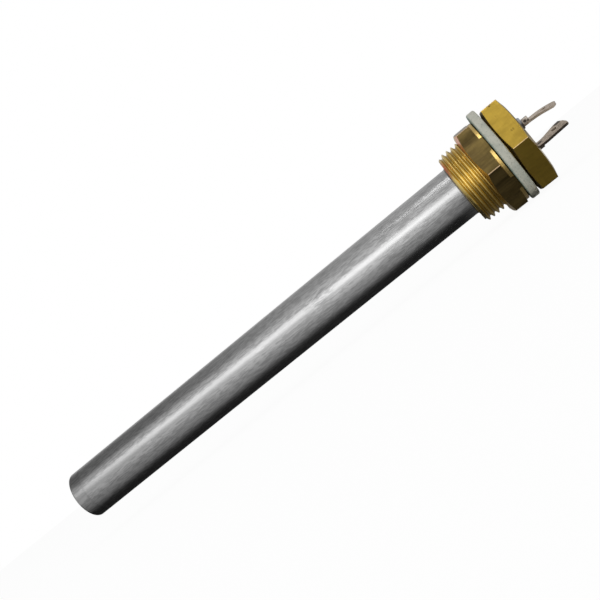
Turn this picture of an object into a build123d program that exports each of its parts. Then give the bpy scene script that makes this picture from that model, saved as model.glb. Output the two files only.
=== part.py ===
from build123d import *
from math import cos, degrees, radians, tan
import os

# A single-tube screw-in heating element. The axis of the tube lies along X, with the tabs
# towards +X. The origin is on that axis, in the plane where the head meets its sealing ring.

# Sheath
sheath_diameter = 18.0
sheath_wall = 1.0
sheath_free_length = 172.0
sheath_edge_radius = 0.8
end_disc_thickness = 2.0
solder_leg = 0.5

# Screw plug: the flats of the head stand out past the thread by the head's shoulder
thread_major_diameter = 26.441
threads_per_inch = 14
thread_length = 19.0
head_shoulder = 2.33
head_thickness = 7.6
head_chamfer_angle = 13
head_chamfer_inset = 2.0
shoulder_depth = 1.0
throat_step = 0.5
cup_diameter = 20.0
cup_depth = 3.0
mouth_chamfer = 0.4

# Lock nut: its wall is measured at the flats, and a collar is turned on the ring's side
nut_wall = 1.98
nut_thickness = 7.2
nut_turn = 4.6
nut_chamfer_angle = 21
nut_chamfer_inset = 1.1
collar_length = 1.3
collar_step = 0.35
collar_taper = 8
mouth_share = 0.5
thread_clearance = 0.05

# Sealing ring: loose on the thread, with the same play all round when it is centred
ring_play = 0.98
ring_width = 3.0
ring_thickness = 3.1
ring_chamfer = 0.6
ring_rise = 0.75
seat_gap = 0.3

# Formers and winding: the formers stop short of the head by the cold length
cold_length = 18.1
core_count = 5
lead_gap = 1.2
fill_thickness = 0.65
winding_turns = 12.5
winding_margin = 3.0
tape_thickness = 0.4
tape_width = 1.4
lead_bend_radius = 0.45
end_insulator_thickness = 2.5
head_insulator_thickness = 3.0
slip = 0.05

# Pins, bushes and tabs
pin_diameter = 2.0
pin_flat = 0.65
pin_flat_length = 2.3
bush_diameter = 4.4
bush_length = 8.5
bush_rim = 0.3
bush_margin = 1.0
seal_recess = 0.3
tab_thickness = 0.8
tab_width = 6.3
tab_length = 12.1
straight_length = 3.7
foot_length = 1.5
foot_width = 3.8
root_edge = 1.05
flare_start = 2.6
flare_length = 5.9
tip_corner = 0.5
tip_flat = 1.0
tip_knee = (0.7, 2.15)
tip_cut = 1.8
tab_hole_diameter = 1.8
tab_hole_from_tip = 4.5
ear_height = 2.1
fold_radius = 0.6

# Each tab: how far its foot stands out of the head, which side of the axis it is on, how far
# it is turned about X, and the radius and share of its blade that lean it to the other one
tab_settings = {
    "upper": {"rise": 1.45, "side": 1, "turn": 12, "bow_radius": 34.0, "bow_share": 0.94},
    "lower": {"rise": 0.1, "side": -1, "turn": 21, "bow_radius": 10.0, "bow_share": 0.065},
}

# The 55 degree pipe thread is cut to this depth
thread_depth = 0.640327 * 25.4 / threads_per_inch

# Widths that follow from the thread and from the sheath
head_across_flats = thread_major_diameter + 2 * head_shoulder
nut_across_flats = thread_major_diameter + 2 * nut_wall
ring_inner_radius = thread_major_diameter / 2 + ring_play
ring_outer_radius = ring_inner_radius + ring_width
sheath_radius = sheath_diameter / 2
sheath_bore = sheath_radius - sheath_wall
throat_radius = sheath_bore - throat_step
fill_bore = sheath_bore - slip - fill_thickness
core_radius = fill_bore - tape_thickness - 2 * slip
winding_radius = core_radius + slip + tape_thickness / 2
pin_radius = pin_diameter / 2
pin_offset = sheath_bore - bush_margin - bush_diameter / 2

# Places worked out along the axis
thread_end = -thread_length
closed_end = thread_end - sheath_free_length
disc_inner_face = closed_end + end_disc_thickness
insulator_inner_face = disc_inner_face + end_insulator_thickness
first_core = insulator_inner_face + lead_gap
cores_end = -cold_length
core_length = (cores_end - first_core - lead_gap) / core_count
last_core = cores_end - core_length
seal_start = cores_end + head_insulator_thickness
cup_floor = head_thickness - cup_depth
winding_start = first_core + winding_margin
winding_end = last_core - lead_gap - winding_margin
pins_start = last_core
ring_face = -seat_gap
nut_face = ring_face - ring_thickness - seat_gap

os.makedirs("parts", exist_ok=True)


def head_outline():
    """Half outline of the head's turned faces: a shallow cone on each side."""
    corner = head_across_flats / 2 / cos(radians(30)) + 1
    face_radius = head_across_flats / 2 - head_chamfer_inset
    run = (corner - face_radius) * tan(radians(head_chamfer_angle))
    return [
        (0, 0),
        (0, face_radius),
        (run, corner),
        (head_thickness - run, corner),
        (head_thickness, face_radius),
        (head_thickness, 0),
    ]


def nut_outline():
    """Half outline of the nut's turned faces: a cone, and a tapered collar by the ring."""
    corner = nut_across_flats / 2 / cos(radians(30)) + 1
    start = nut_face - nut_thickness
    start_radius = nut_across_flats / 2 - nut_chamfer_inset
    run = (corner - start_radius) * tan(radians(nut_chamfer_angle))
    collar_radius = nut_across_flats / 2 - collar_step
    collar_end = collar_radius - collar_length * tan(radians(collar_taper))
    return [
        (start, 0),
        (start, start_radius),
        (start + run, corner),
        (nut_face - collar_length, corner),
        (nut_face - collar_length, collar_radius),
        (nut_face, collar_end),
        (nut_face, 0),
    ]


def core_start(index):
    """Start of one former: the last one stands off by the gap that the lead needs."""
    extra = lead_gap if index == core_count - 1 else 0
    return first_core + index * core_length + extra


def tab_outline():
    """Flat outline of a tab: one long edge is straight, the other flares out, and the tip is
    cut askew on the flared side."""
    edge = tab_width / 2
    knee_back, knee_in = tip_knee
    return [
        (0, -edge),
        (tab_length - tip_corner, -edge),
        (tab_length, tip_corner - edge),
        (tab_length, tip_corner + tip_flat - edge),
        (tab_length - knee_back, edge - knee_in),
        (tab_length - tip_cut, edge),
        (flare_start + flare_length, edge),
        (flare_start, root_edge),
        (0, root_edge),
    ]


def write(piece, name):
    """Label one finished piece and write it to its own file."""
    piece.part.label = name
    export_step(piece.part, f"parts/{name}.step")


# Sheath tube: the outer edge of its closed end is rounded over
with BuildPart() as sheath_tube:
    with BuildSketch(Plane.YZ.offset(closed_end)):
        Circle(sheath_radius)
        Circle(sheath_bore, mode=Mode.SUBTRACT)
    extrude(amount=shoulder_depth - closed_end)
    closed_rim = sheath_tube.edges().filter_by(GeomType.CIRCLE).group_by(Axis.X)[0].sort_by(SortBy.RADIUS)[-1]
    fillet(closed_rim, sheath_edge_radius)
write(sheath_tube, "sheath_tube")

# Disc welded into the closed end
with BuildPart() as end_disc:
    with BuildSketch(Plane.YZ.offset(closed_end)):
        Circle(sheath_bore - slip)
    extrude(amount=end_disc_thickness)
write(end_disc, "end_disc")

# Solder that fills the mouth of the plug's bore and runs out along the tube
with BuildPart() as solder_fillet:
    with BuildSketch(Plane.XY):
        Polygon(
            (thread_end - solder_leg, sheath_radius),
            (thread_end, sheath_radius + slip + mouth_chamfer),
            (thread_end + mouth_chamfer, sheath_radius + slip),
            (thread_end + mouth_chamfer, sheath_radius),
            align=None,
        )
    revolve(axis=Axis.X)
write(solder_fillet, "solder_fillet")

# Screw plug: a hexagon bar turned down to the thread, bored for the tube and the seal
with BuildPart() as screw_plug:
    with BuildSketch(Plane.YZ):
        RegularPolygon(head_across_flats / 2, 6, major_radius=False)
    extrude(amount=head_thickness)
    with BuildSketch(Plane.XY):
        Polygon(*head_outline(), align=None)
    revolve(axis=Axis.X, mode=Mode.INTERSECT)
    with BuildSketch(Plane.YZ.offset(thread_end)):
        Circle(thread_major_diameter / 2)
    extrude(amount=thread_length)
    thread_rim = screw_plug.edges().filter_by(GeomType.CIRCLE).group_by(Axis.X)[0]
    chamfer(thread_rim, thread_depth)
    with BuildSketch(Plane.XY):
        socket = sheath_radius + slip
        Polygon(
            (thread_end, 0),
            (thread_end, socket + mouth_chamfer),
            (thread_end + mouth_chamfer, socket),
            (shoulder_depth, socket),
            (shoulder_depth, throat_radius),
            (cup_floor, throat_radius),
            (cup_floor, cup_diameter / 2),
            (head_thickness, cup_diameter / 2),
            (head_thickness, 0),
            align=None,
        )
    revolve(axis=Axis.X, mode=Mode.SUBTRACT)
write(screw_plug, "screw_plug")

# Lock nut: turned a little against the head, as it was left
with BuildPart() as lock_nut:
    with BuildSketch(Plane.YZ.offset(nut_face - nut_thickness)):
        RegularPolygon(nut_across_flats / 2, 6, major_radius=False, rotation=nut_turn)
    extrude(amount=nut_thickness)
    with BuildSketch(Plane.XY):
        Polygon(*nut_outline(), align=None)
    revolve(axis=Axis.X, mode=Mode.INTERSECT)
    with BuildSketch(Plane.YZ.offset(nut_face - nut_thickness)):
        Circle(thread_major_diameter / 2 + thread_clearance)
    extrude(amount=nut_thickness, mode=Mode.SUBTRACT)
    bore_rims = (
        lock_nut.edges()
        .filter_by(GeomType.CIRCLE)
        .filter_by(lambda edge: edge.radius < thread_major_diameter / 2 + 2 * thread_clearance)
    )
    chamfer(bore_rims, thread_depth * mouth_share)
write(lock_nut, "lock_nut")

# Sealing ring: it hangs a little off the axis, because its bore is wider than the thread
with BuildPart() as sealing_ring:
    with BuildSketch(Plane.YZ.offset(ring_face - ring_thickness)):
        with Locations((0, ring_rise)):
            Circle(ring_outer_radius)
            Circle(ring_inner_radius, mode=Mode.SUBTRACT)
    extrude(amount=ring_thickness)
    outer_rims = (
        sealing_ring.edges()
        .filter_by(GeomType.CIRCLE)
        .filter_by(lambda edge: edge.radius > ring_inner_radius + slip)
    )
    chamfer(outer_rims, ring_chamfer)
write(sealing_ring, "sealing_ring")

# Ceramic disc that keeps the winding off the end disc
with BuildPart() as end_insulator:
    with BuildSketch(Plane.YZ.offset(disc_inner_face)):
        Circle(sheath_bore - slip)
    extrude(amount=end_insulator_thickness)
write(end_insulator, "end_insulator")

# Magnesia formers, each with two holes
for core_index in range(core_count):
    with BuildPart() as core:
        with BuildSketch(Plane.YZ.offset(core_start(core_index))):
            Circle(core_radius)
            with Locations((0, pin_offset), (0, -pin_offset)):
                Circle(pin_radius + slip, mode=Mode.SUBTRACT)
        extrude(amount=core_length)
    write(core, f"core_{core_index + 1}")

# Winding: resistance tape, turn beside turn from the far end to the last former but one
with BuildPart() as winding:
    with BuildLine() as turns:
        winding_length = winding_end - winding_start
        Helix(
            pitch=winding_length / winding_turns,
            height=winding_length,
            radius=winding_radius,
            center=(winding_start, 0, 0),
            direction=(1, 0, 0),
        )
    outwards = (turns.line @ 0) - Vector(winding_start, 0, 0)
    with BuildSketch(Plane(turns.line @ 0, x_dir=outwards, z_dir=turns.line % 0)):
        Rectangle(tape_thickness, tape_width)
    sweep(is_frenet=True)
write(winding, "winding")

# The two ends of the tape, folded flat: the far one comes back through the formers to the
# upper pin, the near one steps in to the lower pin
lead_routes = {
    "lead_back": [
        (winding_start - tape_width / 2, winding_radius),
        (first_core - lead_gap / 2, winding_radius),
        (first_core - lead_gap / 2, pin_offset),
        (pins_start, pin_offset),
    ],
    "lead_out": [
        (winding_end + tape_width / 2, -winding_radius),
        (pins_start - lead_gap / 2, -winding_radius),
        (pins_start - lead_gap / 2, -pin_offset),
        (pins_start, -pin_offset),
    ],
}
for lead_name, route in lead_routes.items():
    with BuildPart() as lead:
        with BuildSketch(Plane.XZ):
            with BuildLine():
                FilletPolyline(*route, radius=lead_bend_radius)
            trace(line_width=tape_thickness)
        extrude(amount=tape_width / 2, both=True)
    write(lead, lead_name)

# Magnesia packed hard between the winding and the tube
with BuildPart() as magnesia_fill:
    with BuildSketch(Plane.YZ.offset(insulator_inner_face)):
        Circle(sheath_bore - slip)
        Circle(fill_bore, mode=Mode.SUBTRACT)
    extrude(amount=cores_end - insulator_inner_face)
write(magnesia_fill, "magnesia_fill")

# Ceramic disc that spaces the two pins
with BuildPart() as head_insulator:
    with BuildSketch(Plane.YZ.offset(cores_end)):
        Circle(sheath_bore - slip)
        with Locations((0, pin_offset), (0, -pin_offset)):
            Circle(pin_radius + slip, mode=Mode.SUBTRACT)
    extrude(amount=head_insulator_thickness)
write(head_insulator, "head_insulator")

# Poured seal: it fills the end of the tube, the plug's throat and its cup
seal_end = head_thickness - seal_recess
with BuildPart() as head_seal:
    with BuildSketch(Plane.XY):
        Polygon(
            (seal_start, 0),
            (seal_start, sheath_bore - slip),
            (shoulder_depth, sheath_bore - slip),
            (shoulder_depth, throat_radius - slip),
            (cup_floor, throat_radius - slip),
            (cup_floor, cup_diameter / 2 - slip),
            (seal_end, cup_diameter / 2 - slip),
            (seal_end, 0),
            align=None,
        )
    revolve(axis=Axis.X)
    for settings in tab_settings.values():
        height = settings["side"] * pin_offset
        with BuildSketch(Plane.YZ.offset(seal_start)):
            with Locations((0, height)):
                Circle(pin_radius + slip)
        extrude(amount=seal_end - seal_start, mode=Mode.SUBTRACT)
        bush_start = head_thickness + settings["rise"] - bush_length
        with BuildSketch(Plane.YZ.offset(bush_start)):
            with Locations((0, height)):
                Circle(bush_diameter / 2 + slip)
        extrude(amount=bush_length, mode=Mode.SUBTRACT)
write(head_seal, "head_seal")

# On each side: the glazed bush, the pin with its flattened end, and the tab
for side_name, settings in tab_settings.items():
    root = head_thickness + settings["rise"]
    pin_height = settings["side"] * pin_offset
    inwards = Vector(0, 0, -settings["side"]).rotate(Axis.X, settings["turn"])
    across = Vector(1, 0, 0).cross(inwards)
    pin_end = root + pin_flat_length
    tab_foot = Vector(root, 0, pin_height) + inwards * (pin_flat + tab_thickness / 2)

    with BuildPart() as bush:
        with BuildSketch(Plane.YZ.offset(root - bush_length)):
            with Locations((0, pin_height)):
                Circle(bush_diameter / 2)
        extrude(amount=bush_length)
        outer_rim = bush.faces().sort_by(Axis.X)[-1].outer_wire().edges()
        chamfer(outer_rim, bush_rim)
        with BuildSketch(Plane.YZ.offset(root - bush_length)):
            with Locations((0, pin_height)):
                Circle(pin_radius + slip)
        extrude(amount=bush_length, mode=Mode.SUBTRACT)
    write(bush, f"insulator_bush_{side_name}")

    with BuildPart() as pin:
        with BuildSketch(Plane.YZ.offset(pins_start)):
            with Locations((0, pin_height)):
                Circle(pin_radius)
        extrude(amount=pin_end - pins_start)
        flat_plane = Plane((root, 0, pin_height), x_dir=across * -1, z_dir=(1, 0, 0))
        with BuildSketch(flat_plane):
            with Locations((0, pin_flat)):
                Rectangle(pin_diameter, pin_diameter, align=(Align.CENTER, Align.MIN))
        extrude(amount=pin_flat_length, mode=Mode.SUBTRACT)
    write(pin, f"pin_{side_name}")

    with BuildPart() as tab:
        with BuildSketch(Plane(tab_foot, x_dir=(1, 0, 0), z_dir=across)):
            with BuildLine() as centre_line:
                straight = Line((0, 0), (straight_length, 0))
                blade_length = tab_length - straight.length
                bow_length = settings["bow_share"] * blade_length
                bow_angle = degrees(bow_length / settings["bow_radius"])
                bow = JernArc(straight @ 1, straight % 1, settings["bow_radius"], bow_angle)
                Line(bow @ 1, (bow @ 1) + (bow % 1) * (blade_length - bow_length))
            trace(line_width=tab_thickness)
        extrude(amount=tab_width / 2, both=True)
        with BuildSketch(Plane(tab_foot, x_dir=(1, 0, 0), z_dir=inwards)) :
            Polygon(*tab_outline(), align=None)
            with Locations((tab_length - tab_hole_from_tip, 0)):
                Circle(tab_hole_diameter / 2, mode=Mode.SUBTRACT)
        extrude(amount=tab_width, both=True, mode=Mode.INTERSECT)
        with BuildSketch(Plane(tab_foot, x_dir=across * -1, z_dir=(1, 0, 0))):
            with BuildLine():
                ear_plane = (foot_width - tab_thickness) / 2
                FilletPolyline(
                    (-foot_width / 2, 0),
                    (ear_plane, 0),
                    (ear_plane, tab_thickness / 2 - ear_height),
                    radius=fold_radius,
                )
            trace(line_width=tab_thickness)
        extrude(amount=foot_length)
    write(tab, f"tab_{side_name}")
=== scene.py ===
# %% [markdown]
# # A screw-in tank heating element
#
# This lesson dresses the solids of a screw-in heating element: a brushed steel tube, a brass
# screw plug with a pipe thread, a brass lock nut, a sealing ring and two flat tabs. The solids
# come packed, in metres, and are never moved. What is made here is what solids leave out: cut
# threads, softened edges and the marks of tools and handling.
#
# The tube lies along X with the tabs towards +X, and Z points up.

import math

import bmesh
import bpy
from mathutils import Euler, Matrix, Quaternion, Vector, noise


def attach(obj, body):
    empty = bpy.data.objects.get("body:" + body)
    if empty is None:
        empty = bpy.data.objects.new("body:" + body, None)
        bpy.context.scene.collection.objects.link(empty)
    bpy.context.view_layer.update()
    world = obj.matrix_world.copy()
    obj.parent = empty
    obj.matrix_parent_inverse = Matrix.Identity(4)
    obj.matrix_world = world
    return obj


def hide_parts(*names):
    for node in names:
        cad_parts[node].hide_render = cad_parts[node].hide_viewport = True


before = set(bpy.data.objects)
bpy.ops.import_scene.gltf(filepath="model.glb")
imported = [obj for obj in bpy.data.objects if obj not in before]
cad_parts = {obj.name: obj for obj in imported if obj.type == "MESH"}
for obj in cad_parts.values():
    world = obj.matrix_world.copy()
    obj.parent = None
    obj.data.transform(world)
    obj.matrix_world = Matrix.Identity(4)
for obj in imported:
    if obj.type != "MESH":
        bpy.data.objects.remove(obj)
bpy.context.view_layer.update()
scene = bpy.context.scene
scene.view_settings.view_transform = "Standard"
print("solids loaded:", len(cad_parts))

# %% [markdown]
# ## The camera
#
# The element was photographed from the side with a fairly long lens, from 33 cm, with the tube
# turned a little away from the lens, so its closed end is further off. The lens was rolled, so
# the tube climbs to the right. A camera that is placed with three angles says the same.

# %% Place the camera
camera_data = bpy.data.cameras.new("camera")
camera_data.lens = 59.4
camera_data.sensor_width = 36
camera_data.clip_start = 0.01
camera = bpy.data.objects.new("camera", camera_data)
camera.location = (-0.0130427, -0.3288286, 0.0)
camera.rotation_euler = Euler([math.radians(angle) for angle in (91.26656, 39.03585, 12.96745)])
scene.collection.objects.link(camera)
scene.camera = camera

# %% [markdown]
# ## Shader sums as Python sums
#
# A procedural finish is arithmetic on noise. Written node by node it gets long, so a small class
# wraps a socket and lets Python's own operators add the Math nodes. Everything else comes from
# one method, `node`, which takes a node's type, its settings and what its sockets get.


# %% A socket that can be added and multiplied
class Field:
    """A number that varies over a surface."""

    def __init__(self, finish, socket):
        self.finish = finish
        self.socket = socket

    def _sum(self, operation, first, second):
        return self.finish.node("ShaderNodeMath", {"operation": operation}, {0: first, 1: second})

    def __add__(self, other):
        return self._sum("ADD", self, other)

    def __radd__(self, other):
        return self._sum("ADD", other, self)

    def __sub__(self, other):
        return self._sum("SUBTRACT", self, other)

    def __rsub__(self, other):
        return self._sum("SUBTRACT", other, self)

    def __mul__(self, other):
        return self._sum("MULTIPLY", self, other)

    def __rmul__(self, other):
        return self._sum("MULTIPLY", other, self)

    def __pow__(self, other):
        return self._sum("POWER", self, other)


def paint(red, green, blue):
    """A screen colour, 0 to 255, as the linear colour that shaders take."""
    linear = []
    for channel in (red, green, blue):
        share = channel / 255
        linear.append(share / 12.92 if share <= 0.04045 else ((share + 0.055) / 1.055) ** 2.4)
    return (*linear, 1.0)


# %% A finish being written
class Finish:
    """One material: its nodes are added by methods, and its shader's sockets by name."""

    def __init__(self, name, **sockets):
        self.material = bpy.data.materials.new(name)
        self.material.use_nodes = True
        self.tree = self.material.node_tree
        self.shader = self.tree.nodes["Principled BSDF"]
        self.wire(**sockets)
        self.place = self.node("ShaderNodeTexCoord", output="Object")
        axes = self.tree.nodes.new("ShaderNodeSeparateXYZ")
        self.tree.links.new(self.place.socket, axes.inputs[0])
        self.x, self.y, self.z = (Field(self, axes.outputs[index]) for index in range(3))

    def feed(self, socket, value):
        """Link a field to a socket, or give the socket a plain value."""
        if isinstance(value, Field):
            self.tree.links.new(value.socket, socket)
        else:
            socket.default_value = value

    def wire(self, **sockets):
        """Feed the shader's sockets, each by its name, and hand back the material."""
        for name, value in sockets.items():
            self.feed(self.shader.inputs[name.replace("_", " ").title()], value)
        return self.material

    def node(self, kind, settings=None, inputs=None, output=0):
        """Add one node: its settings first, then values or links for its sockets."""
        node = self.tree.nodes.new(kind)
        for setting, value in (settings or {}).items():
            setattr(node, setting, value)
        for key, value in (inputs or {}).items():
            self.feed(node.inputs[key], value)
        return Field(self, node.outputs[output])

    def stretched(self, along_x, along_y, along_z, place=None):
        """The place on the piece, counted in cells per metre along each axis."""
        return self.node(
            "ShaderNodeVectorMath",
            {"operation": "MULTIPLY"},
            {0: place or self.place, 1: (along_x, along_y, along_z)},
        )

    def noise(self, place, detail=2.0, roughness=0.5, distortion=0.0):
        """Soft noise, about 0.5 on average."""
        return self.node(
            "ShaderNodeTexNoise",
            {},
            {"Vector": place, "Scale": 1.0, "Detail": detail, "Roughness": roughness,
             "Distortion": distortion},
        )

    def spots(self, place):
        """Distance to the nearest of many scattered points."""
        return self.node("ShaderNodeTexVoronoi", {}, {"Vector": place, "Scale": 1.0})

    def step(self, field, low, high, start=0.0, end=1.0):
        """A soft step from start to end as the field goes from low to high."""
        return self.node(
            "ShaderNodeMapRange",
            {"interpolation_type": "SMOOTHSTEP"},
            {"Value": field, "From Min": low, "From Max": high, "To Min": start, "To Max": end},
        )

    def mix(self, amount, first, second):
        """One colour over another."""
        return self.node(
            "ShaderNodeMix", {"data_type": "RGBA"}, {0: amount, 6: first, 7: second}, output=2
        )

    def shade(self, colour, amount):
        """A colour made darker or lighter by a field. A field of 1 leaves it as it is."""
        colour = colour if isinstance(colour, Field) else colour[:3]
        grey = self.node("ShaderNodeCombineXYZ", {}, {0: amount, 1: amount, 2: amount})
        return self.node("ShaderNodeVectorMath", {"operation": "MULTIPLY"}, {0: colour, 1: grey})

    def near(self, place, radius, stretch=(1, 1, 1), soft=0.5):
        """One inside a spot about a place, both in millimetres, fading to nought at its rim."""
        away = self.node(
            "ShaderNodeVectorMath",
            {"operation": "SUBTRACT"},
            {0: self.place, 1: [value / 1000 for value in place]},
        )
        away = self.stretched(*stretch, place=away)
        distance = self.node("ShaderNodeVectorMath", {"operation": "LENGTH"}, {0: away}, "Value")
        return self.step(distance, radius / 1000 * soft, radius / 1000, 1.0, 0.0)

    def marked(self, name):
        """A number that bmesh left on the faces."""
        return self.node("ShaderNodeAttribute", {"attribute_name": name}, output="Fac")

    def bump(self, height, distance):
        """A normal from a height, distance metres tall."""
        return self.node(
            "ShaderNodeBump", {}, {"Height": height, "Distance": distance, "Strength": 1.0})


# %% [markdown]
# ## Floor, light and cards
#
# Metal looks like what stands round it. The photograph was taken on white, with a soft strip
# above the lens, a small light overhead, and a dim room round the table: the top of the tube is
# grey, and its lowest quarter and the lower flats of the hexagons are nearly black. Cards that
# only reflections see do that. Painting the metal dark would be wrong from every other side.

# %% Floor and backdrop
floor_height = -0.0166


def seen_white(nodes, links):
    """One for the rays of the camera and for those that metal or glass send on."""
    path = nodes.new("ShaderNodeLightPath")
    seen = path.outputs["Is Camera Ray"]
    for kind in ("Is Glossy Ray", "Is Transmission Ray"):
        either = nodes.new("ShaderNodeMath")
        either.operation = "MAXIMUM"
        links.new(seen, either.inputs[0])
        links.new(path.outputs[kind], either.inputs[1])
        seen = either.outputs[0]
    return seen


def white_to_the_eye(name, share):
    """A pale diffuse surface that shows white to camera and reflections, but keeps a shadow."""
    material = bpy.data.materials.new(name)
    material.use_nodes = True
    nodes, links = material.node_tree.nodes, material.node_tree.links
    nodes.clear()
    amount = nodes.new("ShaderNodeMath")
    amount.operation = "MULTIPLY"
    amount.inputs[1].default_value = share
    links.new(seen_white(nodes, links), amount.inputs[0])
    matt = nodes.new("ShaderNodeBsdfDiffuse")
    matt.inputs["Color"].default_value = (0.82, 0.82, 0.82, 1)
    glow = nodes.new("ShaderNodeEmission")
    blend = nodes.new("ShaderNodeMixShader")
    links.new(amount.outputs[0], blend.inputs[0])
    links.new(matt.outputs[0], blend.inputs[1])
    links.new(glow.outputs[0], blend.inputs[2])
    output = nodes.new("ShaderNodeOutputMaterial")
    links.new(blend.outputs[0], output.inputs["Surface"])
    return material


floor_sheet = bmesh.new()
bmesh.ops.create_grid(floor_sheet, x_segments=1, y_segments=1, size=3.0)
bmesh.ops.translate(floor_sheet, verts=floor_sheet.verts, vec=(0, 0, floor_height))
floor_mesh = bpy.data.meshes.new("floor")
floor_sheet.to_mesh(floor_mesh)
floor_sheet.free()
floor = bpy.data.objects.new("floor", floor_mesh)
floor.data.materials.append(white_to_the_eye("white_floor", 0.95))
scene.collection.objects.link(floor)

# %% World: white to the eye, a plain level for the light
world = bpy.data.worlds.new("white_room")
scene.world = world
world.use_nodes = True
world_nodes, world_links = world.node_tree.nodes, world.node_tree.links
background = world_nodes["Background"]
background.inputs["Color"].default_value = (1, 1, 1, 1)
level = world_nodes.new("ShaderNodeMapRange")
level.inputs["To Min"].default_value = 0.62
level.inputs["To Max"].default_value = 1.0
world_links.new(seen_white(world_nodes, world_links), level.inputs["Value"])
world_links.new(level.outputs[0], background.inputs["Strength"])


# %% Soft boxes
def soft_box(name, place, aim, width, height, power, roll=0.0):
    """An area light at a place, turned to face a point."""
    data = bpy.data.lights.new(name, "AREA")
    data.shape = "RECTANGLE"
    data.size = width
    data.size_y = height
    data.energy = power
    box = bpy.data.objects.new(name, data)
    box.location = place
    facing = (Vector(aim) - Vector(place)).to_track_quat("-Z", "Y")
    box.rotation_euler = (facing @ Quaternion((0, 0, 1), math.radians(roll))).to_euler()
    scene.collection.objects.link(box)


soft_box(
    "strip_light", (-0.02, -0.60, 0.168), (-0.05, 0, 0),
    width=1.3, height=0.22, power=1.8, roll=-19,
)
soft_box(
    "overhead_light", (0.04, -0.12, 0.60), (0, 0, 0),
    width=0.16, height=0.13, power=0.33,
)


# %% Cards that only reflections see
def card(name, corners, level):
    """A flat card: level says how bright a reflection finds it, at a place on the card."""
    sheet = bmesh.new()
    bmesh.ops.contextual_create(sheet, geom=[sheet.verts.new(corner) for corner in corners])
    mesh = bpy.data.meshes.new(name)
    sheet.to_mesh(mesh)
    sheet.free()
    flat = bpy.data.objects.new(name, mesh)
    finish = Finish(name, base_color=(0, 0, 0, 1), roughness=1.0, emission_strength=1.0)
    glow = finish.shade((1, 1, 1), level(finish))
    flat.data.materials.append(finish.wire(emission_color=glow))
    flat.visible_camera = False
    flat.visible_diffuse = False
    flat.visible_shadow = False
    scene.collection.objects.link(flat)


def upright(left, right, y, height):
    """The corners of a card that stands on the floor."""
    low = floor_height + 0.001
    return [(left, y, low), (right, y, low), (right, y, height), (left, y, height)]


def lying(height, left, right, front, back):
    """The corners of a card that lies level."""
    return [(left, front, height), (right, front, height), (right, back, height),
            (left, back, height)]


def shade_below(finish):
    """White far in front, half that nearer, nearly black under the piece, and grey behind it.

    Below the head it darkens further out."""
    tube = finish.step(finish.y, -0.065, -0.018, 1.0, 0.5)
    tube = tube * finish.step(finish.y, -0.0175, -0.0055, 1.0, 0.03)
    head = finish.step(finish.y, -0.130, -0.028, 1.0, 0.15)
    near_head = finish.step(finish.x, -0.026, -0.014)
    return tube + (head - tube) * near_head + finish.step(finish.y, 0.035, 0.11, 0.0, 0.55)


def dim_to_the_left(finish):
    """What the tube's top finds overhead: dimmer towards its closed end."""
    return finish.step(finish.x, -0.60, 0.0, 0.26, 0.76)


def dark_in_the_middle(finish):
    """What the head's upper side finds far behind: a dark gap between two bright stretches."""
    left = finish.step(finish.x, 0.1, 0.35, 0.7, 0.12)
    return left + finish.step(finish.x, 0.6, 0.8, 0.0, 0.58)


floor_shade_height = floor_height + 0.0006
card("floor_card", lying(floor_shade_height, -0.8, 0.8, -0.14, 0.6), shade_below)
card("ceiling_card", lying(0.8, -1.8, 1.2, -0.36, 1.0), dim_to_the_left)
card("back_card", upright(-2.0, 2.0, 1.0, 0.8), dark_in_the_middle)

# %% [markdown]
# ## Finishes
#
# The photograph gives each finish its colour, and the way the piece was made gives its grain:
# the tube was drawn and rubbed along its length, the brass was turned and milled, and the ring was
# pressed from rubber with fibres in it. Marks in one spot are given by their place on the piece.


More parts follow.
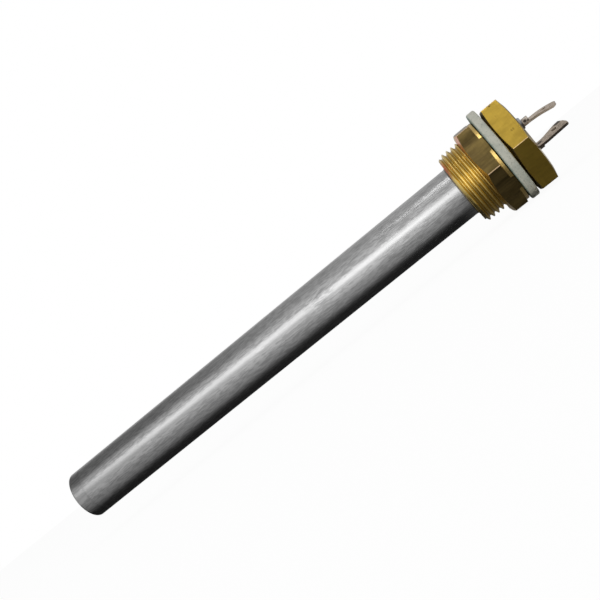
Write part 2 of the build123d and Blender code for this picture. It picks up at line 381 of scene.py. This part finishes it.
# %% Brushed steel for the tube
def brushed_steel():
    """Steel that was rubbed along its length, smoother in a band at the height of the axis."""
    finish = Finish("sheath_steel_finish", metallic=1.0)
    streaks = finish.noise(finish.stretched(75, 1300, 1300), detail=3, roughness=0.62)
    fine = finish.noise(finish.stretched(330, 2300, 2300), detail=2, roughness=0.6)
    bands = finish.noise(finish.stretched(14, 420, 420), detail=2)
    cloud = finish.noise(finish.stretched(60, 110, 110), detail=3, roughness=0.6)
    dents = finish.noise(finish.stretched(260, 1000, 1000), detail=2)
    scratches = finish.step(finish.noise(finish.stretched(130, 1500, 700), detail=1), 0.70, 0.76)
    pits = finish.step(finish.spots(finish.stretched(420, 900, 900)), 0.05, 0.11, 1.0, 0.0)
    pits = pits * finish.step(finish.noise(finish.stretched(90, 120, 120)), 0.52, 0.62)
    scuff = finish.near((-77, -8.6, 2.2), 4.0, (0.5, 1.3, 1.3))
    scuff = scuff * finish.step(finish.noise(finish.stretched(380, 2600, 2600)), 0.44, 0.62)
    seam_place, seam_width = -0.1860, 0.0006
    dressed = finish.step(finish.x, seam_place - 0.0002, seam_place + 0.0004, 1.0, 0.0)
    seam = finish.step(finish.x, seam_place - seam_width, seam_place)
    seam = seam * finish.step(finish.x, seam_place, seam_place + seam_width, 1.0, 0.0)
    # Painted shade: the tube's colour is darker towards its closed end, and a little darker just
    # short of the plug.
    painted_shade_along_tube = finish.step(finish.x, -0.20, -0.06, 0.74, 1.02)
    painted_shade_along_tube = painted_shade_along_tube * finish.step(finish.x, -0.040, -0.022, 1.0, 0.90)
    rubbed = finish.step(finish.z, -0.0005, 0.0003) * finish.step(finish.z, 0.0021, 0.0030, 1, 0)
    rough = 1 - 0.8 * rubbed
    dashes = 0.5 + (finish.step(fine, 0.40, 0.60) - 0.5) * rough
    tone = 0.58 + 0.12 * streaks + 0.32 * dashes + 0.28 * bands + 0.18 * cloud
    tone = tone * painted_shade_along_tube * (1 - 0.12 * dressed) * (1 - 0.08 * seam)
    tone = tone * (1 - 0.55 * pits) * (1 - 0.3 * scuff) + 0.16 * scratches
    height = rough * (0.15 * streaks + 0.7 * fine + 0.1 * dents)
    height = height - 0.5 * pits + 0.3 * scratches - 0.3 * scuff - 0.2 * seam
    return finish.wire(
        base_color=finish.shade(paint(160, 160, 160), tone),
        roughness=finish.step(finish.x, -0.11, -0.03, 0.30, 0.26) + 0.02 * fine,
        normal=finish.bump(height, 0.00003),
    )


# %% Milled and turned brass
def brass(name, turned_bright, milled_bright, milled_dull, bands, marks, spots=(), painted_red_reflection=()):
    """Brass in two tones: light turned faces, and flats darker from tarnish and painted shade.

    Bands says how strong the streaks along the flats are, and marks how deep all marks are, in
    metres. Spots are dirt, and the red spots are a painted reflection: copper red on turned faces."""
    finish = Finish(name, metallic=1.0)
    cloud = finish.noise(finish.stretched(140, 340, 340), detail=3, roughness=0.62)
    tarnish = finish.step(cloud, 0.30, 0.72)
    across = finish.noise(finish.stretched(2600, 240, 240), detail=2)
    along = finish.noise(finish.stretched(34, 250, 250), detail=4, roughness=0.62)
    along = finish.step(along, 0.36, 0.64)
    is_turned = finish.marked("turned")
    wear_and_highlight = finish.marked("wear_and_highlight")
    milled = finish.mix(tarnish, milled_bright, milled_dull)
    milled = finish.shade(milled, (0.92 - bands / 2) + 0.16 * across + bands * along)
    # Painted shade: the head's turned faces are darkened.
    painted_head_shade = finish.step(finish.x, -0.0005, 0.0005, 1.0, 0.62)
    from_axis = (finish.y * finish.y + finish.z * finish.z) ** 0.5
    # Painted shade: turned faces less than 12.1 mm from the axis, the thread's roots and the
    # bores, are darkened.
    painted_root_shade = finish.step(from_axis, 0.0121, 0.0128, 1.0, 0.0)
    painted_root_shade = painted_root_shade * finish.step(finish.x, -0.0005, 0.0, 1.0, 0.0)
    turned_tone = (0.80 + 0.2 * across + 0.2 * cloud) * painted_head_shade * (1 - 0.34 * painted_root_shade)
    colour = finish.mix(is_turned, milled, finish.shade(turned_bright, turned_tone))
    # The rounded corners turn a pale pink: partly wear, partly a painted highlight.
    colour = finish.mix(0.5 * wear_and_highlight, colour, paint(214, 184, 150))
    # Painted reflection: a copper red on turned faces, where a reddish reflection falls.
    for place, radius, stretch in painted_red_reflection:
        red = finish.near(place, radius, stretch, soft=0.1)
        red = red * finish.step(cloud, 0.3, 0.6, 0.6, 1.0)
        colour = finish.mix(0.85 * red * is_turned, colour, paint(230, 126, 94))
    dirt = 0
    for place, radius, stretch, strength in spots:
        dirt = dirt + strength * finish.near(place, radius, stretch)
    if spots:
        colour = finish.mix(dirt, colour, paint(60, 46, 26))
    height = across + 0.5 * cloud + 0.8 * along - dirt
    return finish.wire(
        base_color=colour,
        roughness=0.25 + 0.14 * tarnish + 0.06 * across - 0.05 * is_turned,
        normal=finish.bump(height, marks),
    )


# %% Rest of the finishes
def dull(name, colour, other, roughness, metallic=0.0, grain=900.0, spots=(), edge=False):
    """A plain finish with a soft grain of two tones, and dark spots where they are asked for.

    An edge paints shade along the front edge of the lower tab."""
    finish = Finish(name, metallic=metallic)
    speckle = finish.noise(finish.stretched(grain, grain, grain), detail=3, roughness=0.7)
    tone = finish.mix(finish.step(speckle, 0.38, 0.66), colour, other)
    for place, radius, stretch in spots:
        tone = finish.mix(0.9 * finish.near(place, radius, stretch), tone, paint(50, 40, 35))
    if edge:
        # Painted shade: a dark band along the lower tab's front edge.
        blade_turn = math.radians(21)
        front = -math.cos(blade_turn) * finish.y - math.sin(blade_turn) * finish.z
        painted_edge_shade = finish.step(front, 0.00470, 0.00482) * finish.step(finish.z, -0.001, 0.0, 1, 0)
        tone = finish.mix(0.85 * painted_edge_shade, tone, paint(60, 50, 45))
    return finish.wire(
        base_color=tone,
        roughness=roughness + 0.12 * speckle,
        normal=finish.bump(speckle, 0.00002),
    )


def pressed_rubber():
    """Grey-green rubber flecked with fibres, greener at its left edge, creases and painted shade
    at the bottom.
    """
    finish = Finish("ring_finish")
    grain = finish.noise(finish.stretched(1500, 1500, 1500), detail=3, roughness=0.7)
    flecks = finish.step(finish.spots(finish.stretched(1300, 1300, 1300)), 0.10, 0.32, 1.0, 0.0)
    cloud = finish.noise(finish.stretched(160, 160, 160), detail=2)
    colour = finish.mix(finish.step(cloud, 0.4, 0.65), paint(178, 178, 165), paint(157, 161, 150))
    colour = finish.shade(colour, 0.84 + 0.3 * grain)
    colour = finish.mix(0.5 * flecks, colour, paint(116, 120, 106))
    left_edge = finish.step(finish.x, -0.0034, -0.0029, 1.0, 0.0)
    colour = finish.mix(0.6 * left_edge, colour, paint(58, 104, 92))
    # At the bottom of the ring: creases, and painted shade over them.
    creases_and_painted_shade = finish.noise(finish.stretched(300, 700, 900), distortion=1.0)
    creases_and_painted_shade = finish.step(creases_and_painted_shade, 0.50, 0.56) * finish.step(finish.z, -0.0150, -0.0134, 1.0, 0.0)
    colour = finish.mix(0.5 * creases_and_painted_shade, colour, paint(64, 66, 58))
    return finish.wire(
        base_color=colour,
        roughness=0.62 + 0.2 * grain,
        normal=finish.bump(grain - flecks - creases_and_painted_shade, 0.00006),
    )


def glazed():
    """Pale glaze, with painted shade over the lower part of each bead."""
    finish = Finish("glaze_finish", coat_weight=0.35, coat_roughness=0.12)
    cloud = finish.noise(finish.stretched(500, 500, 500), detail=2)
    # Painted shade on the lower part of each bead.
    upper = finish.step(finish.z, 0.0042, 0.0062, 1.0, 0.0) * finish.step(finish.z, 0.0, 0.0004)
    lower = finish.step(finish.z, -0.0062, -0.0030, 1.0, 0.0)
    painted_bead_shade = (upper + lower) * (0.75 + 0.4 * cloud)
    return finish.wire(
        base_color=finish.mix(painted_bead_shade, paint(150, 156, 164), paint(44, 42, 38)),
        roughness=0.25 + 0.2 * cloud,
        normal=finish.bump(cloud, 0.00001),
    )


steel = brushed_steel()
plug_brass = brass(
    "plug_brass_finish", paint(214, 187, 112), paint(175, 146, 61), paint(152, 126, 52),
    bands=0.08, marks=0.00001,
    spots=[((4.25, -15.2, 4.9), 0.42, (1.2, 1, 0.45), 0.4),
           ((4.95, -15.2, 5.0), 0.42, (1.2, 1, 0.45), 0.4),
           ((3.9, -9.4, 15.2), 0.5, (1, 1, 1), 0.8)],
    painted_red_reflection=[((-19.0, -8.8, 8.6), 6.2, (4, 1, 1))],
)
# The nut's flats get a much darker brass: painted shade for the darker reflection they find.
nut_brass = brass(
    "nut_brass_finish", paint(186, 159, 96), paint(107, 91, 53), paint(90, 76, 46),
    bands=0.85, marks=0.00003,
    painted_red_reflection=[((-10.6, -8.8, 11.8), 6.0, (1, 1, 1))],
)
ring_finish = pressed_rubber()
glaze = glazed()
solder_finish = dull("solder_finish", paint(150, 140, 124), paint(112, 104, 90), 0.42, 1.0)
compound = dull("compound_finish", paint(150, 150, 146), paint(130, 131, 128), 0.55)
ceramic = dull("ceramic_finish", paint(226, 222, 212), paint(208, 203, 192), 0.6)
magnesia = dull("magnesia_finish", paint(222, 219, 210), paint(200, 196, 186), 0.75)
alloy = dull("alloy_finish", paint(150, 148, 144), paint(118, 116, 112), 0.4, 1.0)
pin_metal = dull("pin_finish", paint(168, 160, 150), paint(128, 120, 112), 0.35, 1.0)
tab_metal = dull(
    "tab_finish", paint(200, 185, 168), paint(168, 154, 138), 0.38, 1.0, 800,
    spots=[((17.4, 1.6, -2.35), 1.5, (0.8, 1.1, 1)), ((9.2, -1.2, -3.8), 1.0, (0.8, 1, 1)),
           ((9.9, -1.9, 4.6), 0.7, (1, 1, 1))],
    edge=True,
)
print("materials:", len(bpy.data.materials))

# %% [markdown]
# ## Tools for turned work
#
# Most of this element came off a lathe, and Blender's spin is a lathe: a half outline goes round
# the X axis. The same operator with a step along the axis cuts a thread. Hexagon heads are
# hexagon bar that a lathe chamfered, so they are made the same way, as what a prism and a
# turned blank have in common.

# %% From bmesh to piece
def face_outwards(shape):
    """Turn every face of a closed bmesh to the outside."""
    bmesh.ops.recalc_face_normals(shape, faces=shape.faces)


def finished(name, shape, material, body, slot, *nodes):
    """Turn a bmesh into a piece that rides on a body and stands for its solids."""
    mesh = bpy.data.meshes.new(name)
    shape.to_mesh(mesh)
    shape.free()
    mesh.materials.append(material)
    piece = bpy.data.objects.new(name, mesh)
    scene.collection.objects.link(piece)
    mesh.shade_smooth()
    mesh.set_sharp_from_angle(angle=math.radians(32))
    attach(piece, body)
    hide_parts(*nodes)
    print(name, "has", len(mesh.polygons), "faces")
    return piece


def turned(shape, outline, steps):
    """Spin a half outline of (x, radius) in millimetres once round the X axis."""
    points = [shape.verts.new((x / 1000, 0, radius / 1000)) for x, radius in outline]
    edges = [shape.edges.new(pair) for pair in zip(points, points[1:])]
    bmesh.ops.spin(
        shape, geom=points + edges, cent=(0, 0, 0), axis=(1, 0, 0), dvec=(0, 0, 0),
        angle=math.tau, steps=steps, use_merge=True, use_duplicate=False,
    )
    bmesh.ops.remove_doubles(shape, verts=shape.verts, dist=1e-7)


def corner_arc(x, radius, size, start, end, count=6):
    """Points of a rounded corner in a half outline, about (x, radius), in degrees."""
    angles = [math.radians(start + (end - start) * step / count) for step in range(count + 1)]
    return [(x + size * math.cos(angle), radius + size * math.sin(angle)) for angle in angles]


# %% The pipe thread, with the standard's own numbers for 14 threads an inch
pitch = 25.4 / 14
depth = 0.640327 * pitch
rounding = 0.137329 * pitch
major_radius = 13.2205
root_radius = major_radius - depth
flank = math.radians(62.5)
phase = 0.35


def thread_profile(clearance):
    """One pitch of the 55 degree thread, root to root, as (x, radius)."""
    root = root_radius + clearance
    half = []
    for angle in (0, flank / 2, flank):
        half.append((rounding * math.sin(angle), root + rounding * (1 - math.cos(angle))))
    crest = root + depth
    for angle in (flank, flank / 2, 0):
        half.append(
            (pitch / 2 - rounding * math.sin(angle), crest - rounding * (1 - math.cos(angle)))
        )
    return half + [(pitch - x, radius) for x, radius in reversed(half[:-1])]


def threaded(shape, start, end, clearance, trim):
    """Cut a right-hand thread from start to end, and trim its radius where its ends are turned."""
    first_turn = math.floor(start / pitch) - 1
    turns = math.ceil(end / pitch) + 1 - first_turn
    turn_steps = 96
    points = [
        shape.verts.new(((first_turn * pitch + phase + x) / 1000, 0, radius / 1000))
        for x, radius in thread_profile(clearance)
    ]
    edges = [shape.edges.new(pair) for pair in zip(points, points[1:])]
    bmesh.ops.spin(
        shape, geom=points + edges, cent=(0, 0, 0), axis=(1, 0, 0),
        dvec=(pitch / turn_steps / 1000, 0, 0), angle=math.tau * turns, steps=turn_steps * turns,
        use_merge=False, use_duplicate=False,
    )
    bmesh.ops.remove_doubles(shape, verts=shape.verts, dist=2e-7)
    for place, side in ((start, -1), (end, 1)):
        bmesh.ops.bisect_plane(
            shape, geom=shape.verts[:] + shape.edges[:] + shape.faces[:], dist=1e-8,
            plane_co=(place / 1000, 0, 0), plane_no=(side, 0, 0), clear_outer=True,
        )
    for vert in shape.verts:
        radius = math.hypot(vert.co.y, vert.co.z)
        wanted = trim(vert.co.x * 1000, radius * 1000) / 1000
        vert.co.y *= wanted / radius
        vert.co.z *= wanted / radius


# %% Fill between two rims that lie in one plane
def fill_between_rims(shape, place):
    """Fill the flat ring between the two open rims at one place along the axis."""
    rims = [
        edge for edge in shape.edges
        if len(edge.link_faces) == 1 and all(abs(v.co.x * 1000 - place) < 1e-3 for v in edge.verts)
    ]
    bmesh.ops.triangle_fill(shape, use_beauty=True, edges=rims, normal=(1, 0, 0))


# %% Hexagon bar with turned ends
def stand_in(shape):
    """A bmesh as a passing object, for a boolean to read."""
    mesh = bpy.data.meshes.new("half")
    shape.to_mesh(mesh)
    shape.free()
    half = bpy.data.objects.new("half", mesh)
    scene.collection.objects.link(half)
    return half


def hexagon_bar(across_flats, start, end, turn, softness):
    """A length of hexagon bar along X, a little too long at both ends, corners rounded."""
    overhang = 0.2
    bar = bmesh.new()
    corner = across_flats / 2 / math.cos(math.radians(30))
    bmesh.ops.create_circle(bar, cap_ends=True, segments=6, radius=corner / 1000)
    raised = bmesh.ops.extrude_face_region(bar, geom=bar.faces[:])
    top = [item for item in raised["geom"] if isinstance(item, bmesh.types.BMVert)]
    bmesh.ops.translate(bar, verts=top, vec=(0, 0, (end - start + 2 * overhang) / 1000))
    corners = [edge for edge in bar.edges if abs(edge.verts[0].co.z - edge.verts[1].co.z) > 1e-4]
    bmesh.ops.bevel(
        bar, geom=corners, offset=softness / 1000, segments=3, profile=0.5,
        affect="EDGES", material=-1,
    )
    lie_down = Matrix(
        ((0, 0, 1, (start - overhang) / 1000), (1, 0, 0, 0), (0, 1, 0, 0), (0, 0, 0, 1)))
    spin_round = Matrix.Rotation(math.radians(30 + turn), 4, "X")
    bmesh.ops.transform(bar, matrix=spin_round @ lie_down, verts=bar.verts)
    face_outwards(bar)
    return bar


def chamfer(across_flats, inset, angle):
    """A radius past a hexagon's corners, the radius of its end circle, and its cone's length."""
    corner = across_flats / 2 / math.cos(math.radians(30)) + 0.5
    circle = across_flats / 2 - inset
    return corner, circle, (corner - circle) * math.tan(math.radians(angle))


def hexagon(across_flats, outline, turn, softness, nicks=()):
    """What a hexagon bar and a turned blank have in common, open inside its end circles.

    The outline is the blank's, as (x, radius)."""
    start, end = outline[0][0], outline[-1][0]
    blank = bmesh.new()
    turned(blank, outline, 192)
    face_outwards(blank)
    halves = [stand_in(hexagon_bar(across_flats, start, end, turn, softness)), stand_in(blank)]
    for place, radius in nicks:
        ball = bmesh.new()
        bmesh.ops.create_icosphere(ball, subdivisions=2, radius=radius / 1000)
        bmesh.ops.translate(ball, verts=ball.verts, vec=[value / 1000 for value in place])
        halves.append(stand_in(ball))
    for other in halves[1:]:
        cut = halves[0].modifiers.new("cut", "BOOLEAN")
        cut.operation = "INTERSECT" if other is halves[1] else "DIFFERENCE"
        cut.solver = "EXACT"
        cut.object = other
    made = bpy.data.meshes.new_from_object(
        halves[0].evaluated_get(bpy.context.evaluated_depsgraph_get())
    )
    skin = bmesh.new()
    skin.from_mesh(made)
    for half in halves:
        bpy.data.objects.remove(half)
    ends = [
        face for face in skin.faces
        if all(abs(v.co.x * 1000 - start) < 1e-3 for v in face.verts)
        or all(abs(v.co.x * 1000 - end) < 1e-3 for v in face.verts)
    ]
    bmesh.ops.delete(skin, geom=ends, context="FACES")
    return skin


def mark_cuts(shape, turn, start, end):
    """Mark lathe-cut faces as turned, and a hexagon's rounded corners for wear and painted
    highlight.
    """
    bar_radius, corner_radius, flat_spread = 14, 16.5, 2
    turned_mark = shape.faces.layers.float.new("turned")
    wear_and_highlight_mark = shape.faces.layers.float.new("wear_and_highlight")
    for face in shape.faces:
        middle = face.calc_center_median() * 1000
        radius = math.hypot(middle.y, middle.z)
        on_bar = start < middle.x < end and radius > bar_radius and abs(face.normal.x) < 0.1
        round_x = math.degrees(math.atan2(face.normal.z, face.normal.y)) - turn - 30
        off_flat = abs((round_x + 30) % 60 - 30)
        if on_bar and off_flat > flat_spread and radius > corner_radius:
            face[wear_and_highlight_mark] = 1.0
        elif not (on_bar and off_flat < flat_spread):
            face[turned_mark] = 1.0


def joined(first, second):
    """Put one bmesh into another."""
    mesh = bpy.data.meshes.new("joined")
    second.to_mesh(mesh)
    second.free()
    first.from_mesh(mesh)
    bpy.data.meshes.remove(mesh)


# %% [markdown]
# ## The screw plug
#
# One piece of brass: a 31 mm hexagon head, a G 3/4 thread of 14 turns to the inch, bored for the
# tube at one end and with a cup for the seal at the other. The thread is a real helix, trimmed
# to a cone at its end as a turner does, so that it starts cleanly.

# %% Make the screw plug
thread_end = -19.0
head_back, head_face = 0.0, 7.6
head_flats = 31.101
head_turn = 0.0
neck_width = 1.0
tube_socket, socket_end = 9.05, 1.0
throat_radius, throat_end = 7.5, 4.6
cup_radius = 10.0


def plug_trim(x, radius):
    """The end cone of the thread, and the narrow groove beside the head."""
    limit = root_radius + max(x - thread_end, 0)
    if x > head_back - neck_width:
        limit = min(limit, root_radius)
    return min(radius, limit)


plug = bmesh.new()
threaded(plug, thread_end, head_back, 0.0, plug_trim)
head_corner, head_circle, head_cone = chamfer(head_flats, inset=2.0, angle=13)
joined(plug, hexagon(
    head_flats,
    [(head_back, 0), (head_back, head_circle), (head_back + head_cone, head_corner),
     (head_face - head_cone, head_corner), (head_face, head_circle), (head_face, 0)],
    head_turn, softness=0.16, nicks=[((4.1, -9.2, 15.6), 0.42)],
))
turned(plug, [
    (thread_end, tube_socket + 0.4), (thread_end + 0.4, tube_socket), (socket_end, tube_socket),
    (socket_end, throat_radius), (throat_end, throat_radius), (throat_end, cup_radius),
    (head_face - 0.2, cup_radius), (head_face, cup_radius + 0.2),
], 96)
for rim_place in (thread_end, head_back, head_face):
    fill_between_rims(plug, rim_place)
face_outwards(plug)
mark_cuts(plug, head_turn, head_back, head_face)
print("open edges of the plug:", sum(len(edge.link_faces) != 2 for edge in plug.edges))
finished("plug", plug, plug_brass, "element", "plug_brass", "screw_plug")

# %% [markdown]
# ## The lock nut
#
# A thinner hexagon, chamfered at one face and turned down to a collar at the other. Its inside
# has the same thread, a hair larger, and in step with the plug's, so the two stay in mesh as the
# nut travels.

# %% Make the lock nut
nut_start, nut_end = -10.9, -3.7
nut_flats = 30.401
nut_turn = 4.6
mouth_radius = 13.85
collar_start = nut_end - 1.45
collar_radius = nut_flats / 2 + 0.22


def nut_trim(x, radius):
    """Cones at both mouths of the nut."""
    return max(radius, mouth_radius - min(x - nut_start, nut_end - x))


nut = bmesh.new()
threaded(nut, nut_start, nut_end, 0.06, nut_trim)
nut_corner, nut_circle, nut_cone = chamfer(nut_flats, inset=1.1, angle=21)
joined(nut, hexagon(
    nut_flats,
    [(nut_start, 0), (nut_start, nut_circle), (nut_start + nut_cone, nut_corner),
     (collar_start, nut_corner), (collar_start + 0.26, collar_radius + 0.18),
     (collar_start + 0.34, collar_radius + 0.04), (nut_end - 0.12, collar_radius),
     (nut_end, collar_radius - 0.17), (nut_end, 0)],
    nut_turn, softness=0.2,
))
for rim_place in (nut_start, nut_end):
    fill_between_rims(nut, rim_place)
face_outwards(nut)
mark_cuts(nut, nut_turn, nut_start, nut_end)
print("open edges of the nut:", sum(len(edge.link_faces) != 2 for edge in nut.edges))
finished("nut", nut, nut_brass, "nut", "nut_brass", "lock_nut")

# %% [markdown]
# ## The sealing ring
#
# A flat ring of pressed rubber and fibre with rounded edges. It is loose on the thread and sits a
# little high, so it shows more on one side of the nut than on the other.

# %% Make the sealing ring
ring_left, ring_right = -3.4, -0.3
outer_edge, inner_edge = 0.65, 0.2
rim_middle = 17.2 - outer_edge
bore_middle = 14.4
ring_rise = 0.75
waviness = 0.06
ring = bmesh.new()
turned(ring, (
    corner_arc(ring_left + outer_edge, rim_middle, outer_edge, 180, 90)
    + corner_arc(ring_right - outer_edge, rim_middle, outer_edge, 90, 0)
    + corner_arc(ring_right - inner_edge, bore_middle, inner_edge, 0, -90, 3)
    + corner_arc(ring_left + inner_edge, bore_middle, inner_edge, -90, -180, 3)
    + [(ring_left, rim_middle)]
), 144)
for vert in ring.verts:
    around = math.atan2(vert.co.z, vert.co.y)
    wave = noise.noise(Vector((math.cos(around), math.sin(around), 0.3)) * 2.2)
    vert.co.x += waviness / 1000 * wave
bmesh.ops.translate(ring, verts=ring.verts, vec=(0, 0, ring_rise / 1000))
face_outwards(ring)
finished("ring", ring, ring_finish, "ring", "ring_rubber", "sealing_ring")

# %% [markdown]
# ## The tube and its closed end
#
# The tube is drawn, so it is plain but for its rounded end, where a disc was welded in and the
# seam dressed. A thin bead of solder runs round its other end.

# %% Make the tube, the disc and the solder
closed_end = -191.0
tube_outer, tube_inner = 9.0, 8.0
end_round, mouth_bevel = 0.8, 0.1
disc_inner_face, disc_radius = -189.0, 7.95


def lathed(name, outline, steps, material, slot, node):
    """A piece of the rigid body that is turned from one closed outline."""
    shape = bmesh.new()
    turned(shape, outline, steps)
    face_outwards(shape)
    finished(name, shape, material, "element", slot, node)


lathed("tube", (
    [(socket_end, tube_inner), (closed_end + mouth_bevel, tube_inner),
     (closed_end, tube_inner + mouth_bevel)]
    + corner_arc(closed_end + end_round, tube_outer - end_round, end_round, 180, 90, 8)
    + [(x, tube_outer) for x in (-150.0, -100.0, -50.0, socket_end - mouth_bevel)]
    + [(socket_end, tube_outer - mouth_bevel), (socket_end, tube_inner)]
), 192, steel, "sheath_steel", "sheath_tube")
lathed("disc", [
    (disc_inner_face, 0), (disc_inner_face, disc_radius), (closed_end + 0.05, disc_radius),
    (closed_end + 0.02, 7.7), (closed_end + 0.16, 7.35), (closed_end + 0.2, 6.9),
    (closed_end + 0.1, 6.7), (closed_end + 0.1, 0),
], 96, steel, "sheath_steel", "end_disc")
lathed("solder_bead", [
    (thread_end - 0.5, tube_outer), (thread_end - 0.42, 9.12), (thread_end - 0.22, 9.22),
    (thread_end - 0.08, 9.36), (thread_end, 9.44), (thread_end + 0.38, 9.04),
    (thread_end + 0.4, tube_outer), (thread_end - 0.5, tube_outer),
], 96, solder_finish, "solder", "solder_fillet")

# %% [markdown]
# ## Edges for the small pieces
#
# The tabs, pins and beads have the right shape as solids, but their edges are perfectly sharp,
# which no real edge is. A copy of each gets its triangles merged and a very small bevel.

# %% Soften the edges of a solid's copy
def softened(name, node, material, slot, width):
    """A copy of a solid of the rigid body, its sharp edges bevelled to a width in millimetres."""
    shape = bmesh.new()
    shape.from_mesh(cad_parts[node].data)
    bmesh.ops.remove_doubles(shape, verts=shape.verts, dist=1e-6)
    bmesh.ops.dissolve_limit(
        shape, angle_limit=math.radians(1), verts=shape.verts, edges=shape.edges, delimit=set()
    )
    piece = finished(name, shape, material, "element", slot, node)
    bevel = piece.modifiers.new("soft_edges", "BEVEL")
    bevel.width = width / 1000
    bevel.segments = 2
    bevel.limit_method = "ANGLE"
    bevel.angle_limit = math.radians(35)
    bevel.use_clamp_overlap = True


for side in ("upper", "lower"):
    softened(f"tab_{side}_strip", f"tab_{side}", tab_metal, "tab_metal", 0.08)
    softened(f"bush_{side}", f"insulator_bush_{side}", glaze, "glazed_ceramic", 0.12)
    softened(f"pin_{side}_rod", f"pin_{side}", pin_metal, "pin_steel", 0.05)
softened("seal", "head_seal", compound, "seal_compound", 0.05)

# %% [markdown]
# ## What stays inside
#
# The formers, the winding and its leads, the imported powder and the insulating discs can't be
# seen when the element is whole. They keep their solids and get the finish of their material.

# %% Finish the inner pieces
inner_finishes = {
    "end_insulator": ceramic, "head_insulator": ceramic, "magnesia_fill": magnesia,
    "winding": alloy, "lead_back": alloy, "lead_out": alloy,
}
for former in range(1, 6):
    inner_finishes[f"core_{former}"] = magnesia
for node_name, material in inner_finishes.items():
    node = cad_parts[node_name]
    node.data.materials.clear()
    node.data.materials.append(material)
